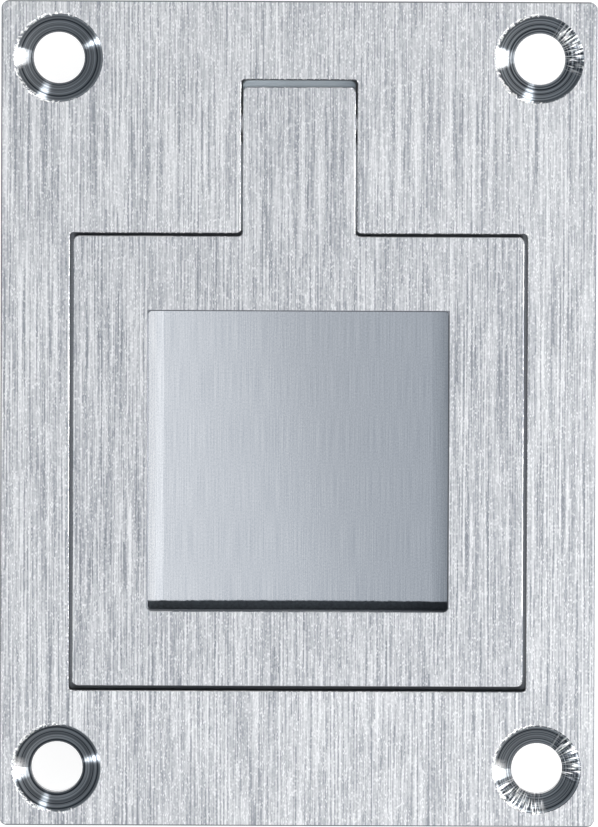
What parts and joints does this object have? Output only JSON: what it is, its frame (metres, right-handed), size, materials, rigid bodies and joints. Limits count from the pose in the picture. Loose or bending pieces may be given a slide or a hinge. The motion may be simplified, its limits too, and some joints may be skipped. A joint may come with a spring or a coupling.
{
  "type": "recessed ring pull",
  "caption": "Rectangular flush pull: a square ring with a stem lies level in a countersunk brushed plate over a finger cup and swings out on a hidden hinge pin.",
  "frame": {"origin": "middle of the four screw holes, on the back of the flange, where it seats on the door", "axes": "+Z out of the face, the way the ring is pulled; +Y along the height, towards the hinge; +X to the right seen from the front"},
  "size_m": [0.0452, 0.0626, 0.0084],
  "materials": {
    "plate_steel": "coarse brushed along the height on the face, satin in the cup, as cast behind",
    "ring_steel": "coarse brushed along the height on the face, satin on the other sides",
    "pin_steel": "plain drawn steel, end dressed flush"
  },
  "bodies": {
    "plate": {"face_plate": "plate_steel", "hinge_pin": "pin_steel"},
    "ring": {"pull_ring": "ring_steel"}
  },
  "joints": [
    {"name": "ring_hinge", "type": "hinge", "parent": "plate", "child": "ring", "pos_m": [0, 0.022, 0.0015], "axis": [-1, 0, 0], "range_deg": [0, 90]}
  ]
}
